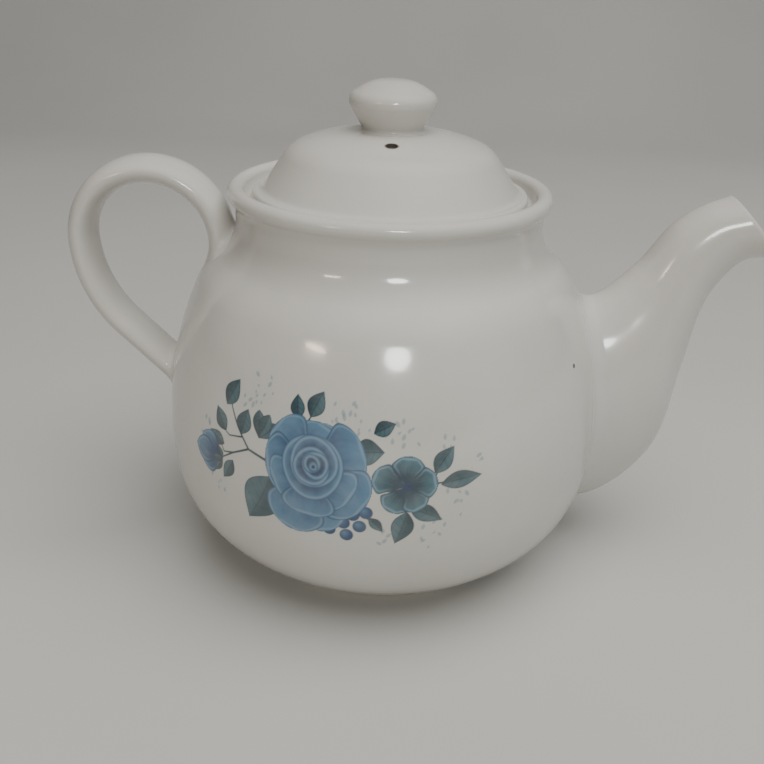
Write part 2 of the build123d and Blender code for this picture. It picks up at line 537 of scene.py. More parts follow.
@dataclass(frozen=True)
class Backcloth:
    """A plain pale studio floor."""

    name: str = "backdrop_pale"
    light: Colour = (0.56, 0.555, 0.53)
    dark: Colour = (0.51, 0.505, 0.48)
    roughness: float = 0.9

    def build(self) -> bpy.types.Material:
        """Makes the material.

        Returns:
            The material.
        """
        nodes = Nodes(self.name)
        cloud = nodes.spread(nodes.noise(2.5, 3.0), (0.3, 0.7), (0.0, 1.0))
        nodes.join(nodes.mix(cloud, self.light, self.dark), nodes.shader.inputs["Base Color"])
        nodes.shader.inputs["Roughness"].default_value = self.roughness
        return nodes.material


def place_piece(
    obj: bpy.types.Object, body: Body, slot: Slot, finish: bpy.types.Material, *stands_for: str
) -> None:
    """Dresses a piece, says what it rides on and stands for, and reports it.

    Args:
        obj: The finished piece.
        body: The CAD body it moves with.
        slot: Its material slot in the record; not used.
        finish: Its material.
        stands_for: The CAD nodes that it replaces.
    """
    obj.data.materials.clear()
    obj.data.materials.append(finish)
    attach(obj, body.value)
    if stands_for:
        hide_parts(*stands_for)
    LOG.info("%s: %d faces on %s", obj.name, len(obj.data.polygons), body.value)


# ---------------------------------------------------------------- the pot


@dataclass
class PotBody:
    """The pot's wall of revolution, from the foot over the rolled rim and down the inside.

    Each arc is its radius and the degrees that it turns.
    """

    belly_r: float = 75.0
    belly_z: float = 50.0
    wall: float = 5.0
    lower_arc: Point = (186.0, 3.0)
    base_arc: Point = (40.0, 67.0)
    upper_arc: Point = (114.0, 25.5)
    shoulder_arc: Point = (24.0, 27.5)
    neck_r: float = 15.5
    neck_length: float = 2.7
    flare_arc: Point = (4.4, 50.0)
    rim_r: float = 2.7
    seat_z: float = 126.0
    seat_r: float = 46.6
    ledge_r: float = 41.0
    ledge_depth: float = 2.6
    ledge_rounds: tuple[float, ...] = (1.2, 0.9, 0.9)
    strainer_z: float = 58.0
    hole_r: float = 2.4
    hole_pitch: float = 8.5
    rim_margin: float = 4.0
    speck_turn: float = 57.8
    speck_z: float = 84.1

    def belly(self, inset: float, base_turn: float) -> tuple[np.ndarray, Pen]:
        """The belly's arcs, drawn in from the outside by inset.

        Args:
            inset: How far inside the outer face the arcs run.
            base_turn: How far the base arc turns in under the pot.

        Returns:
            The lower half from bottom to widest place, and the pen at the upper half's end.
        """
        lower = Pen((self.belly_r - inset, self.belly_z), -90)
        lower.arc(self.lower_arc[0] - inset, -self.lower_arc[1], 0.5)
        lower.arc(self.base_arc[0] - inset, -base_turn)
        upper = Pen((self.belly_r - inset, self.belly_z), 90)
        upper.arc(self.upper_arc[0] - inset, self.upper_arc[1], 0.8)
        upper.arc(self.shoulder_arc[0] - inset, self.shoulder_arc[1])
        upper.arc(self.neck_r + inset, -self.upper_arc[1] - self.shoulder_arc[1])
        return lower.points()[::-1], upper

    def outside(self) -> np.ndarray:
        """The outer face.

        Returns:
            Radius and height a row, from the foot up to the end of the rolled rim.
        """
        lower, upper = self.belly(0, self.base_arc[1])
        upper.line(self.neck_length)
        upper.arc(self.flare_arc[0], -self.flare_arc[1], 5)
        upper.arc(self.rim_r, 180 + self.flare_arc[1], 8)
        return np.vstack([lower, upper.points()[1:]])

    def profile(self) -> np.ndarray:
        """The whole wall's outline.

        Returns:
            Radius and height a row, from the axis under the floor round to the axis above it.
        """
        outer = self.outside()
        inner_lower, inner_upper = self.belly(self.wall, 90 - self.lower_arc[1])
        under = rounded([(0, outer[0, 1]), (30, outer[0, 1]), tuple(outer[0])], [5])
        inner = inner_upper.points()
        ledge = [(self.ledge_r, self.seat_z - self.ledge_depth), (self.ledge_r, self.seat_z)]
        recess = [tuple(outer[-1]), (self.seat_r, self.seat_z), *ledge[::-1], tuple(inner[-1])]
        step = rounded(recess, list(self.ledge_rounds))
        floor = [[0.0, inner_lower[0, 1]]]
        return np.vstack([under[:-1], outer, step[1:-1], inner[::-1], inner_lower[::-1], floor])

    def radius(self, height: np.ndarray) -> tuple[np.ndarray, np.ndarray]:
        """The outer face's radius.

        Args:
            height: The heights, of any shape.

        Returns:
            The radius at each height, and how fast it changes with height.
        """
        outer = self.outside()
        top = int(np.argmax(outer[:, 1] > self.seat_z - self.rim_margin))
        table = np.linspace(outer[0, 1], outer[top - 1, 1], 600)
        radii = np.interp(table, outer[:top, 1], outer[:top, 0])
        return np.interp(height, table, radii), np.interp(height, table, np.gradient(radii, table))

    def distance(self, points: np.ndarray) -> tuple[np.ndarray, np.ndarray]:
        """How far points stand off the outer face, and its outward direction there.

        With q the distance from the axis and R(z) the outer radius, the distance is
        (q - R) / sqrt(1 + R'(z) squared), and the direction is (x/q, y/q, -R'(z)) made one long.

        Args:
            points: The points, in the last axis.

        Returns:
            The distances, and the directions.
        """
        around = np.hypot(points[..., 0], points[..., 1])
        radius, slope = self.radius(points[..., 2])
        length = np.sqrt(1 + slope**2)
        out = np.stack([points[..., 0] / around, points[..., 1] / around, -slope], -1)
        return (around - radius) / length, out / length[..., None]

    def speck(self) -> Place:
        """Where the dark speck in the glaze lies, in metres."""
        turn, out = math.radians(self.speck_turn), float(self.radius(np.array(self.speck_z))[0])
        return out * math.sin(turn) * MM, -out * math.cos(turn) * MM, self.speck_z * MM

    def build(self, finish: bpy.types.Material) -> None:
        """Makes the pot, pierced with the strainer behind the spout.

        Args:
            finish: Its glaze.
        """
        pot = revolved("pot_body_glazed", self.profile())
        turns = np.radians(60 * np.arange(6))
        spots = [(0.0, 0.0), *zip(self.hole_pitch * np.cos(turns), self.hole_pitch * np.sin(turns))]
        middle = self.belly_r - self.wall / 2
        holes = [((middle, y, self.strainer_z + z), "X") for y, z in spots]
        pierce(pot, holes, self.hole_r, 3 * self.wall)
        place_piece(pot, Body.POT, Slot.GLAZE, finish, "pot_body")


@dataclass
class FootRing:
    """The bare ring that the pot stands on."""

    outer_r: float = 46.4
    inner_r: float = 42.4
    taper: float = 1.1
    height: float = 4.77
    sunk: float = 0.3
    edge: float = 0.9

    def build(self, finish: bpy.types.Material) -> None:
        """Makes the ring, its top edge sunk a little into the pot.

        Args:
            finish: Its clay.
        """
        top = self.height + self.sunk
        corners = [
            (self.inner_r - self.taper, top),
            (self.inner_r, 0.0),
            (self.outer_r, 0.0),
            (self.outer_r + self.taper, top),
        ]
        ring = revolved("foot_ring_bare", rounded(corners, [self.edge] * 2), closed=True)
        place_piece(ring, Body.POT, Slot.CLAY, finish, "foot_ring")


@dataclass
class Joined:
    """A tube that grows out of the pot's wall, its root spread into it by a soft fillet of slip."""

    pot: PotBody
    fillet: float
    sunk: float = 1.4
    samples: int = 900

    def reach(self, surface: Callable, turns: np.ndarray) -> tuple[np.ndarray, np.ndarray]:
        """Where each line along the tube leaves the wall, and where it comes back or ends.

        Args:
            surface: Gives points and outward directions for places along and round the tube.
            turns: The angles round the tube.

        Returns:
            The first and last place along each line, from 0 to 1.
        """
        along = np.linspace(0, 1, self.samples)
        points, _ = surface(np.repeat(along[:, None], len(turns), 1), turns)
        above = self.pot.distance(points)[0] + self.sunk
        free = above > 0
        columns = np.arange(len(turns))
        first = np.argmax(free, axis=0)
        last = len(along) - 1 - np.argmax(free[::-1], axis=0)
        low, high = above[np.maximum(first - 1, 0), columns], above[first, columns]
        start = along[first] - (along[1] - along[0]) * np.where(first > 0, high / (high - low), 0)
        after = np.minimum(last + 1, len(along) - 1)
        low, high = above[after, columns], above[last, columns]
        gap = np.where(after > last, high / np.where(after > last, high - low, 1), 0)
        return start, along[last] + (along[1] - along[0]) * gap

    def spread(self, points: np.ndarray, outward: np.ndarray, near: np.ndarray) -> np.ndarray:
        """Spreads a tube's root over the wall.

        A point at distance d from the wall, under the fillet's radius R, moves along the wall by
        R - sqrt(R squared - (R - d) squared), which draws a quarter circle between tube and wall.

        Args:
            points: The tube's points.
            outward: Their outward directions.
            near: How much of the fillet each point takes, from 0 to 1.

        Returns:
            The moved points.
        """
        depth, normal = self.pot.distance(points)
        left = np.clip(self.fillet - depth, 0, self.fillet)
        amount = (self.fillet - np.sqrt(self.fillet**2 - left**2)) * near
        flat = outward - np.einsum("...i,...i->...", outward, normal)[..., None] * normal
        return points + amount[..., None] * flat


@dataclass
class Spout(Joined):
    """The spout: a tall oval tube drawn out to a lipped mouth, hollow all the way.

    Each section is its centre's x and z, its half height, its half width and its tilt in degrees.
    """

    fillet: float = 4.5
    wall: float = 3.8
    lip_wall: float = 3.0
    lip_swell: float = 0.9
    lip_points: int = 13
    crowding: float = 1.15
    rows: int = 170
    columns: int = 120
    sections: tuple = (
        (56.0, 54.3, 38.5, 20.0, 0.0),
        (76.0, 56.8, 38.4, 19.0, 6.0),
        (88.7, 69.1, 33.2, 16.8, 16.0),
        (94.6, 88.1, 21.0, 13.4, 27.7),
        (104.2, 111.6, 13.1, 10.5, 35.6),
        (111.4, 118.1, 11.8, 10.2, 41.7),
        (119.8, 120.3, 13.0, 11.0, 41.9),
    )

    def surface(
        self, along: np.ndarray, turns: np.ndarray, inset: bool = False
    ) -> tuple[np.ndarray, np.ndarray]:
        """The outer or inner face.

        At each place the section is an oval about a centre, half height a and half width b, its
        plane tilted from upright. A point at angle t is centre + a sin(t) up + b cos(t) across.

        Args:
            along: Places from root 0 to mouth 1, one row a ring.
            turns: Angles round the oval.
            inset: Whether it is the channel, one wall inside the outer face.

        Returns:
            Points and outward directions.
        """
        stations = np.array(self.sections)
        if inset:
            walls = np.array([self.wall] * (len(stations) - 1) + [self.lip_wall])
            stations[:, 2:4] -= walls[:, None]
        steps = np.hypot(*np.diff(stations[:, :2], axis=0).T)
        knots = np.concatenate([[0], np.cumsum(steps)]) / steps.sum()
        x, z, high, wide, tilt = np.moveaxis(hermite(knots, stations, along), -1, 0)
        lean = np.radians(tilt)
        up = np.stack([-np.sin(lean), 0 * lean, np.cos(lean)], -1)
        across = np.array([0.0, 1.0, 0.0])
        sine, cosine = np.sin(turns), np.cos(turns)
        centre = np.stack([x, 0 * x, z], -1)
        points = centre + (high * sine)[..., None] * up + (wide * cosine)[..., None] * across
        out = (sine / high)[..., None] * up + (cosine / wide)[..., None] * across
        return points, out / np.linalg.norm(out, axis=-1, keepdims=True)

    def channel(self, along: np.ndarray, turns: np.ndarray) -> tuple[np.ndarray, np.ndarray]:
        """The inner face, as surface gives it."""
        return self.surface(along, turns, True)

    def build(self, finish: bpy.types.Material) -> None:
        """Makes the spout as one closed grid: outer face, rounded lip, channel and hidden root.

        Args:
            finish: Its glaze.
        """
        turns = np.arange(self.columns) * (2 * np.pi / self.columns)
        share = np.linspace(0, 1, self.rows)[:, None] ** self.crowding
        start = self.reach(self.surface, turns)[0]
        outer, out = self.surface(start + (1 - start) * share, turns)
        outer = self.spread(outer, out, np.ones(outer.shape[:2]))
        inner_start = self.reach(self.channel, turns)[0]
        inner = self.channel(inner_start + (1 - inner_start) * share, turns)[0]
        lean = math.radians(self.sections[-1][4])
        forward = np.array([math.cos(lean), 0, math.sin(lean)])
        middle, half = (outer[-1] + inner[-1]) / 2, (outer[-1] - inner[-1]) / 2
        swing = np.radians(np.linspace(0, 180, self.lip_points))[1:-1, None, None]
        thick = np.linalg.norm(half, axis=-1, keepdims=True)
        lip = middle + np.cos(swing) * half + np.sin(swing) * self.lip_swell * thick * forward
        rings = np.concatenate([outer, lip, inner[::-1]])
        faces = [grid_faces(len(rings), self.columns, True)]
        spout = solid("spout_glazed", rings.reshape(-1, 3), faces)
        place_piece(spout, Body.POT, Slot.GLAZE, finish, "spout")


@dataclass
class Handle(Joined):
    """The handle: a pulled oval strap that loops from the neck down to the belly.

    The loop is its centre's x and z and its radius. The sweep and the tail are each an arc's radius
    and the degrees that it turns.
    """

    fillet: float = 3.2
    half_width: float = 9.2
    half_thickness: float = 4.5
    loop: Place = (-79.3, 110.0, 23.4)
    sweep: Point = (43.0, 45.0)
    lower_run: float = 28.0
    tail: Point = (24.0, 24.0)
    tail_run: float = 6.0
    rows: int = 260
    columns: int = 96
    root_length: float = 9.0
    samples_along: int = 600
    smoothing: int = 31

    def centre_line(self) -> np.ndarray:
        """The strap's middle line in the XZ plane.

        Returns:
            X and Z a row, from the upper root to the lower one.
        """
        x, z, radius = self.loop
        outer = Pen((x, z + radius), 180)
        outer.arc(radius, 90)
        outer.arc(*self.sweep)
        outer.line(self.lower_run)
        inner = Pen((x, z + radius), 0)
        inner.arc(radius, -90)
        inner.arc(self.tail[0], -self.tail[1])
        inner.line(self.tail_run)
        return np.vstack([inner.points()[::-1], outer.points()[1:]])

    def surface(self, along: np.ndarray, turns: np.ndarray) -> tuple[np.ndarray, np.ndarray]:
        """The strap's face: an oval carried along the middle line, square to it.

        Args:
            along: Places from the upper end 0 to the lower end 1, one row a ring.
            turns: Angles round the oval.

        Returns:
            Points and outward directions.
        """
        line = self.centre_line()
        length = np.concatenate([[0], np.cumsum(np.hypot(*np.diff(line, axis=0).T))])
        even = np.linspace(0, length[-1], self.samples_along)
        track = np.stack([np.interp(even, length, column) for column in line.T], -1)
        ahead = np.gradient(track, axis=0)
        ahead /= np.linalg.norm(ahead, axis=1, keepdims=True)
        kernel = np.hanning(self.smoothing) / np.hanning(self.smoothing).sum()
        margin = self.smoothing // 2
        padded = np.pad(ahead, ((margin, margin), (0, 0)), mode="edge")
        ahead = np.stack([np.convolve(padded[:, k], kernel, "valid") for k in (0, 1)], -1)
        at = along * length[-1]
        x, z, ax, az = (np.interp(at, even, column) for column in (*track.T, *ahead.T))
        size = np.hypot(ax, az)
        side = np.stack([-az / size, 0 * az, ax / size], -1)
        across = np.array([0.0, 1.0, 0.0])
        sine, cosine = np.sin(turns), np.cos(turns)
        thick = (self.half_thickness * sine)[..., None] * side
        wide = (self.half_width * cosine)[..., None] * across
        points = np.stack([x, 0 * x, z], -1) + thick + wide
        out = (sine / self.half_thickness)[..., None] * side
        out = out + (cosine / self.half_width)[..., None] * across
        return points, out / np.linalg.norm(out, axis=-1, keepdims=True)

    def build(self, finish: bpy.types.Material) -> None:
        """Makes the strap, closed by a hidden point inside the wall at each root.

        Args:
            finish: Its glaze.
        """
        turns = np.arange(self.columns) * (2 * np.pi / self.columns)
        start, end = self.reach(self.surface, turns)
        share = np.linspace(0, 1, self.rows)[:, None]
        along = start + (end - start) * share
        points, out = self.surface(along, turns)
        line = self.centre_line()
        total = np.hypot(*np.diff(line, axis=0).T).sum()
        from_root = np.minimum(along - start, end - along) * total
        near = np.clip(1.6 - from_root / self.root_length, 0, 1)
        rings = self.spread(points, out, near**2 * (3 - 2 * near))
        ends = np.stack([rings[0].mean(0), rings[-1].mean(0)])
        cloud = np.vstack([rings.reshape(-1, 3), ends])
        ring = np.arange(self.columns)
        last = ring + (self.rows - 1) * self.columns
        caps = [fan_faces(ring, len(cloud) - 2), fan_faces(last, len(cloud) - 1)[:, ::-1]]
        handle = solid("handle_glazed", cloud, [grid_faces(self.rows, self.columns), *caps])
        place_piece(handle, Body.POT, Slot.GLAZE, finish, "handle")


# ---------------------------------------------------------------- the lid


@dataclass
class Lid:
    """The domed lid with its flange, locating skirt and small vent hole, and the knob on top."""

    seat_z: float = 126.0
    flange_r: float = 45.0
    flange_h: float = 3.4
    dome_foot_r: float = 42.0
    wall: float = 4.0
    slope: float = 55.5
    side: float = 12.6
    shoulder: Point = (12.0, 35.0)
    crown: Point = (60.0, 14.0)
    crown_cap_r: float = 30.0
    skirt_outer: float = 39.8
    skirt_inner: float = 36.6
    skirt_depth: float = 7.0
    vent_r: float = 1.75
    vent_offset: float = 21.0
    waist_r: float = 9.8
    flare: Point = (13.6, 7.4)
    edge_arc: Point = (3.6, 84.0)
    knob_h: float = 15.7
    knob_sunk: float = 1.8
    knob_root: Point = (12.6, 12.4)
    root_lap: float = 0.25
    waist_lap: float = 0.35

    def dome(self, inset: float) -> np.ndarray:
        """One face of the dome.

        Args:
            inset: How far it lies inside the outer face.

        Returns:
            Radius and height a row, from the foot of the side up to the crown.
        """
        lean = math.radians(self.slope)
        foot = np.array([self.dome_foot_r, self.seat_z + self.flange_h])
        foot = foot + inset * np.array([-math.sin(lean), -math.cos(lean)])
        pen = Pen((foot[0], foot[1]), 180 - self.slope)
        pen.line(self.side)
        pen.arc(self.shoulder[0] - inset, self.shoulder[1])
        pen.arc(self.crown[0] - inset, self.crown[1])
        pen.arc(self.crown_cap_r, 180 - pen.heading)
        return pen.points()

    def profile(self) -> np.ndarray:
        """The lid's whole outline.

        Returns:
            Radius and height a row, from the crown down to the skirt and back up the inside.
        """
        outer, inner = self.dome(0), self.dome(self.wall)
        climb = (inner[0, 0] - self.skirt_inner) / math.cos(math.radians(self.slope))
        rising = (inner[1] - inner[0]) / np.linalg.norm(inner[1] - inner[0])
        flange_top, skirt_z = self.seat_z + self.flange_h, self.seat_z - self.skirt_depth
        corners = [
            tuple(outer[1]),
            tuple(outer[0]),
            (self.flange_r, flange_top),
            (self.flange_r, self.seat_z),
            (self.skirt_outer, self.seat_z),
            (self.skirt_outer, skirt_z),
            (self.skirt_inner, skirt_z),
            tuple(inner[0] + rising * climb),
            tuple(inner[1]),
        ]
        foot = rounded(corners, [3.2, 1.5, 1.0, 0.8, 1.3, 1.3, 2.0])
        top, bottom = [[0.0, outer[-1, 1]]], [[0.0, inner[-1, 1]]]
        return np.vstack([top, outer[:1:-1], foot, inner[2:], bottom])

    def knob_profile(self) -> np.ndarray:
        """The knob's outline: a flared stem under a round-edged, gently domed button.

        Returns:
            Radius and height a row, from the axis inside the lid to the axis on top.
        """
        crown = self.dome(0)[-1, 1]
        base, (wide, narrow) = crown - self.knob_sunk, self.knob_root
        stem = [(0.0, base), (wide, base), (narrow, crown - self.root_lap)]
        flare_top = (self.flare[0], crown + self.flare[1])
        corners = [*stem, (self.waist_r - self.waist_lap, crown + self.waist_lap), flare_top]
        foot = rounded(corners, [0.2, 0.3, 3.4])
        lean = math.degrees(math.atan2(self.flare[1], self.flare[0] - self.waist_r))
        edge = Pen(flare_top, lean)
        edge.arc(*self.edge_arc, 6)
        rim = edge.points()
        turn = math.radians(edge.heading)
        arm = 0.45 * rim[-1, 0]
        top = np.array([0.0, crown + self.knob_h])
        guide = rim[-1] + arm * np.array([math.cos(turn), math.sin(turn)]), top + [arm, 0]
        u = np.linspace(0, 1, 22)[1:, None]
        cap = (1 - u) ** 3 * rim[-1] + 3 * u * (1 - u) ** 2 * guide[0]
        cap = cap + 3 * u**2 * (1 - u) * guide[1] + u**3 * top
        return np.vstack([foot, rim[1:], cap])

    def vent_mouth(self) -> Place:
        """Where the vent hole opens on top of the dome, in metres."""
        outer = self.dome(0)[::-1]
        return 0.0, -self.vent_offset * MM, float(np.interp(self.vent_offset, *outer.T)) * MM

    def build(self, finish: bpy.types.Material) -> None:
        """Makes the lid and its knob.

        Args:
            finish: Their glaze.
        """
        lid = revolved("lid_glazed", self.profile())
        top = self.dome(0)[-1, 1]
        pierce(lid, [((0.0, -self.vent_offset, top - 3), "Z")], self.vent_r, 20.0)
        place_piece(lid, Body.LID, Slot.GLAZE, finish, "lid")
        knob = revolved("lid_knob_glazed", self.knob_profile())
        place_piece(knob, Body.LID, Slot.GLAZE, finish, "lid_knob")


# ---------------------------------------------------------------- the printed sprays


@dataclass(frozen=True)
class Inks:
    """The print's colours, each as red, green and blue light."""

    petal_light: Colour = (0.085, 0.195, 0.315)
    petal_deep: Colour = (0.008, 0.050, 0.140)
    petal_rim: Colour = (0.195, 0.325, 0.430)
    heart: Colour = (0.004, 0.028, 0.095)
    teal_light: Colour = (0.060, 0.150, 0.185)
    teal_deep: Colour = (0.006, 0.035, 0.060)
    leaf_light: Colour = (0.070, 0.140, 0.165)
    leaf_deep: Colour = (0.010, 0.032, 0.046)
    pale: Colour = (0.190, 0.270, 0.330)


@dataclass
class Canvas:
    """A patch of belly that is painted on, in millimetres across and up."""

    low: Point = (-54.0, -2.0)
    high: Point = (54.0, 56.0)
    cell: float = 0.24

    def __post_init__(self) -> None:
        """Lays out the grid, with no ink on it."""
        across = np.arange(self.low[0], self.high[0], self.cell)
        up = np.arange(self.low[1], self.high[1], self.cell)
        self.s, self.t = np.meshgrid(across, up)
        self.ink = np.zeros((*self.s.shape, 3))
        self.cover = np.zeros(self.s.shape)

    def lay(self, mask: np.ndarray, colour: np.ndarray) -> None:
        """Lays ink over what is there.

        Args:
            mask: How much ink each cell takes, from 0 to 1.
            colour: One colour, or one for each cell.
        """
        cover = mask + self.cover * (1 - mask)
        safe = np.maximum(cover, 1e-6)[..., None]
        kept = (self.cover * (1 - mask))[..., None]
        self.ink = (mask[..., None] * np.asarray(colour) + kept * self.ink) / safe
        self.cover = cover

    def local(self, base: Point, turn: float) -> tuple[np.ndarray, np.ndarray]:
        """Each cell's place in a shape's own directions.

        Args:
            base: Where the shape starts.
            turn: The way it points, in degrees.

        Returns:
            How far each cell lies along the shape, and across it.
        """
        angle = math.radians(turn)
        ds, dt = self.s - base[0], self.t - base[1]
        along = ds * math.cos(angle) + dt * math.sin(angle)
        return along, -ds * math.sin(angle) + dt * math.cos(angle)

    def stroke(self, run: list[Point], width: float, colour: Colour, strength: float = 1.0) -> None:
        """Draws a thin line that tapers to half its width at its end.

        Args:
            run: The points that it goes through.
            width: Its width at its start.
            colour: Its ink.
            strength: How much ink it takes, from 0 to 1.
        """
        best = np.full(self.s.shape, 1e9)
        marks = np.array(run, float)
        for number, (a, b) in enumerate(zip(marks, marks[1:])):
            side = b - a
            share = ((self.s - a[0]) * side[0] + (self.t - a[1]) * side[1]) / (side @ side)
            share = np.clip(share, 0, 1)
            gap = np.hypot(self.s - a[0] - share * side[0], self.t - a[1] - share * side[1])
            place = (number + share) / (len(marks) - 1)
            best = np.minimum(best, gap / (1 - 0.5 * place))
        self.lay(strength * np.clip((width / 2 - best) / self.cell + 0.5, 0, 1), colour)


def mixed(first: Colour, second: Colour, amount: np.ndarray) -> np.ndarray:
    """A colour for each cell, from first at 0 to second at 1."""
    share = np.clip(amount, 0, 1)[..., None]
    return np.array(first) * (1 - share) + np.array(second) * share


@dataclass(frozen=True)
class Blade:
    """A petal or leaf: its half width at share u of its length is w sin(pi u to the power lean)."""

    base: Point
    turn: float
    length: float
    width: float
    lean: float = 1.0
    blunt: float = 1.0
    curl: float = 0.0
    wave: float = 0.0

    def shape(self, canvas: Canvas) -> tuple[np.ndarray, np.ndarray, np.ndarray]:
        """Where the blade lies.

        Args:
            canvas: The patch that is painted on.

        Returns:
            For each cell its share of the length, its share of the half width, and how deep it
            lies inside the edge in millimetres.
        """
        along, across = canvas.local(self.base, self.turn)
        u = np.clip(along / self.length, 0, 1)
        across = across - self.curl * self.length * u * (1 - u)
        half = np.sin(np.pi * u**self.lean) ** self.blunt * self.width / 2
        half = half * (1 + self.wave * np.sin(17 * u + 3 * np.sign(across)))
        over = np.maximum(-along, along - self.length)
        depth = np.minimum(half - np.abs(across), -over)
        return u, across / np.maximum(half, 1e-3), depth

    def leaf(self, canvas: Canvas, inks: Inks, veins: int = 5) -> None:
        """Paints a leaf with a dark outline, one shaded side, a midrib and slanting veins.

        Args:
            canvas: The patch that is painted on.
            inks: The print's colours.
            veins: How many veins each side has.
        """
        u, side, depth = self.shape(canvas)
        mask = np.clip(depth / canvas.cell + 0.5, 0, 1)
        shade = 0.42 + 0.30 * np.sign(side) * np.minimum(np.abs(side) * 3, 1) + 0.35 * (0.5 - u)
        colour = mixed(inks.leaf_light, inks.leaf_deep, shade)
        slant = np.abs((u * veins + 0.9 * np.abs(side)) % 1 - 0.5)
        vein = np.clip(1 - slant * self.length / veins / 0.28, 0, 1) * 0.45 * (np.abs(side) < 0.9)
        colour = colour + vein[..., None] * (np.array(inks.leaf_deep) - colour)
        rib = np.clip(1 - np.abs(side) * self.width / 2 / 0.32, 0, 1) * (u < 0.93)
        edge = np.clip(1 - depth / 0.55, 0, 1)
        dark = np.maximum(rib * 0.8, edge * 0.85)[..., None]
        canvas.lay(mask, colour + dark * (np.array(inks.leaf_deep) * 0.75 - colour))

    def petal(self, canvas: Canvas, light: Colour, deep: Colour, rim: Colour, fold: float) -> None:
        """Paints a petal, deep at its base and down one side, with a pale rim and thin outline.

        Args:
            canvas: The patch that is painted on.
            light: The petal's open colour.
            deep: Its colour in the folds.
            rim: The pale stroke inside its edge.
            fold: Which side is deeper, from -1 to 1.
        """
        u, side, depth = self.shape(canvas)
        mask = np.clip(depth / canvas.cell + 0.5, 0, 1)
        shade = 1.9 * (1 - u) ** 1.2 - 0.1 + 0.38 * fold * side + 0.07 * np.sin(9 * side + 5 * u)
        streak = 0.10 * np.sin(26 * side * (0.4 + u)) * (1 - u)
        colour = mixed(light, deep, shade + streak)
        pale = np.clip(1 - np.abs(depth - 0.95) / 0.6, 0, 1) * np.clip(u * 2 - 0.6, 0, 1)
        colour = colour + 0.75 * pale[..., None] * (np.array(rim) - colour)
        line = np.clip(1 - depth / 0.5, 0, 1)[..., None]
        canvas.lay(mask, colour + 0.9 * line * (np.array(deep) * 0.8 - colour))


